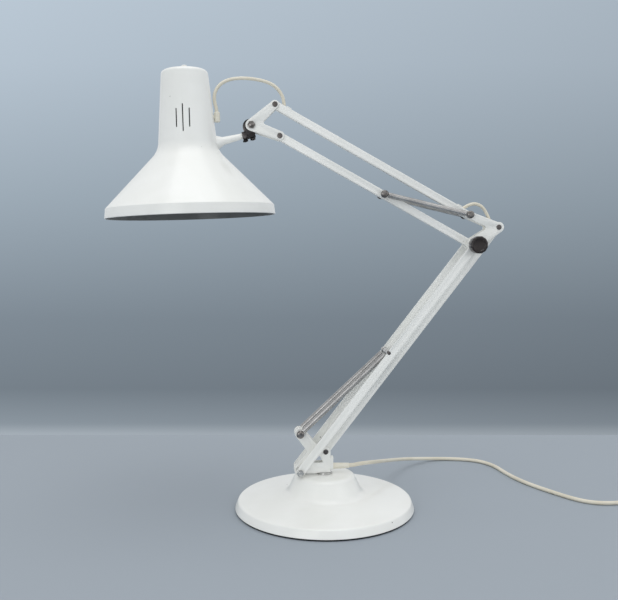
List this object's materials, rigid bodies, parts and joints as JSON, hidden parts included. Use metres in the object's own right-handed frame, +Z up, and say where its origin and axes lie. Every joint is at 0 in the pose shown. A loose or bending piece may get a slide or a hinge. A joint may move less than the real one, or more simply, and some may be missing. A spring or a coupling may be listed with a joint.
{
  "type": "desk lamp",
  "caption": "Balanced-arm desk lamp: weighted round base, sprung parallelogram arms, elbow knob, tilting flared shade with push switch, and mains lead",
  "frame": {"origin": "on the table, under the middle of the round base", "axes": "+X towards the elbow, +Y away from the viewer of the picture, +Z up; the arms lie in Y = 0"},
  "size_m": [0.8267, 0.2944, 0.5331],
  "materials": {
    "ivory_enamel": "glossy ivory enamel",
    "cast_weight": "plain cast iron, hidden inside the base",
    "felt": "dark felt",
    "bright_steel": "nickel-plated steel",
    "dark_steel": "darkened steel",
    "spring_steel": "bright spring wire",
    "ivory_plastic": "ivory plastic",
    "white_plastic": "white plastic",
    "ivory_lead": "ivory cable sheath",
    "lampholder_black": "black thermoset",
    "bulb_brass": "bright cap",
    "bulb_opal": "opal glass"
  },
  "bodies": {
    "base": {"base_shell": "ivory_enamel", "base_weight": "cast_weight", "base_felt": "felt", "swivel_bush": "bright_steel", "mains_lead": "ivory_lead", "mains_coil": "ivory_lead", "plug_body": "ivory_plastic", "plug_pins": "bright_steel"},
    "bracket": {"swivel_spindle": "bright_steel", "base_bracket": "ivory_enamel", "lead_gland": "ivory_plastic", "arm_pivot_bolt": "bright_steel", "arm_spacers": "bright_steel", "link_pivot_rivet": "dark_steel", "spring_anchor_pin": "bright_steel", "lower_spring_near": "spring_steel", "lower_spring_far": "spring_steel"},
    "lower_arm": {"rail_near": "ivory_enamel", "rail_far": "ivory_enamel", "lower_spring_crossbar": "bright_steel", "rail_spacers": "bright_steel"},
    "lower_link": {"lower_link": "ivory_enamel", "link_lead": "ivory_lead"},
    "elbow": {"elbow_plate_near": "ivory_enamel", "elbow_plate_far": "ivory_enamel", "elbow_rivet": "bright_steel", "elbow_bolt": "bright_steel", "elbow_spacers": "bright_steel", "upper_anchor_pin": "bright_steel", "upper_spring_near": "spring_steel", "upper_spring_far": "spring_steel", "elbow_lead": "ivory_lead"},
    "elbow_knob": {"elbow_knob": "ivory_plastic"},
    "upper_arm": {"upper_arm_bar": "ivory_enamel", "upper_spring_crossbar": "bright_steel"},
    "upper_link": {"upper_link_bar": "ivory_enamel", "lead_clips": "white_plastic", "arm_lead": "ivory_lead", "head_lead_rise": "ivory_lead"},
    "head_bracket": {"head_plate_near": "ivory_enamel", "head_plate_far": "ivory_enamel", "head_rivets": "bright_steel", "tilt_bolt": "bright_steel", "head_lead_loop": "ivory_lead"},
    "knuckle": {"tilt_knuckle": "dark_steel", "clamp_screws": "bright_steel"},
    "shade": {"head_stem": "bright_steel", "stem_nut": "bright_steel", "shade": "ivory_enamel", "lead_grommet": "white_plastic", "lampholder": "lampholder_black", "bulb_cap": "bulb_brass", "bulb_glass": "bulb_opal", "switch_body": "bright_steel", "head_lead_drop": "ivory_lead"},
    "switch_button": {"switch_button": "white_plastic"}
  },
  "joints": [
    {"name": "base_swivel", "type": "hinge", "parent": "base", "child": "bracket", "pos_m": [0, 0, 0.0455], "axis": [0, 0, 1], "range_deg": [-170, 170], "deforming": ["mains_lead"]},
    {"name": "lower_arm_swing", "type": "hinge", "parent": "bracket", "child": "lower_arm", "pos_m": [-0.0318, 0, 0.0496], "axis": [0, 1, 0], "range_deg": [-36, 5], "deforming": ["lower_spring_near", "lower_spring_far"]},
    {"name": "lower_link_swing", "type": "hinge", "parent": "bracket", "child": "lower_link", "pos_m": [0.0008, 0, 0.0712], "axis": [0, 1, 0], "range_deg": [-36, 5]},
    {"name": "elbow_turn", "type": "hinge", "parent": "lower_arm", "child": "elbow", "pos_m": [0.18161, 0, 0.32423], "axis": [0, 1, 0], "range_deg": [-5, 36]},
    {"name": "elbow_knob_turn", "type": "hinge", "parent": "elbow", "child": "elbow_knob", "pos_m": [0.18161, 0, 0.32423], "axis": [0, 1, 0], "range_deg": [-180, 180]},
    {"name": "upper_arm_swing", "type": "hinge", "parent": "elbow", "child": "upper_link", "pos_m": [0.17591, 0, 0.36073], "axis": [0, 1, 0], "range_deg": [-50, 30], "deforming": ["elbow_lead"]},
    {"name": "lower_bar_swing", "type": "hinge", "parent": "elbow", "child": "upper_arm", "pos_m": [0.18161, 0, 0.32423], "axis": [0, 1, 0], "range_deg": [-50, 30], "deforming": ["upper_spring_near", "upper_spring_far"]},
    {"name": "head_bracket_turn", "type": "hinge", "parent": "upper_link", "child": "head_bracket", "pos_m": [-0.06014, 0, 0.48932], "axis": [0, 1, 0], "range_deg": [-30, 50], "deforming": ["head_lead_rise"]},
    {"name": "head_tilt", "type": "hinge", "parent": "head_bracket", "child": "knuckle", "pos_m": [-0.08804, 0, 0.46482], "axis": [0, 1, 0], "range_deg": [-35, 45], "deforming": ["head_lead_loop"]},
    {"name": "shade_swivel", "type": "hinge", "parent": "knuckle", "child": "shade", "pos_m": [-0.08563, 0, 0.45553], "axis": [-0.9681, 0, -0.2504], "range_deg": [-80, 80], "deforming": ["head_lead_drop"]},
    {"name": "switch_press", "type": "slide", "parent": "shade", "child": "switch_button", "axis": [-0.0359, 0, 0.9994], "range_m": [-0.003, 0], "stiffness_N_per_m": 400}
  ],
  "couplings": [
    {"joint": "lower_link_swing", "follows": "lower_arm_swing", "ratio": 1},
    {"joint": "elbow_turn", "follows": "lower_arm_swing", "ratio": -1},
    {"joint": "lower_bar_swing", "follows": "upper_arm_swing", "ratio": 1},
    {"joint": "head_bracket_turn", "follows": "upper_arm_swing", "ratio": -1}
  ]
}
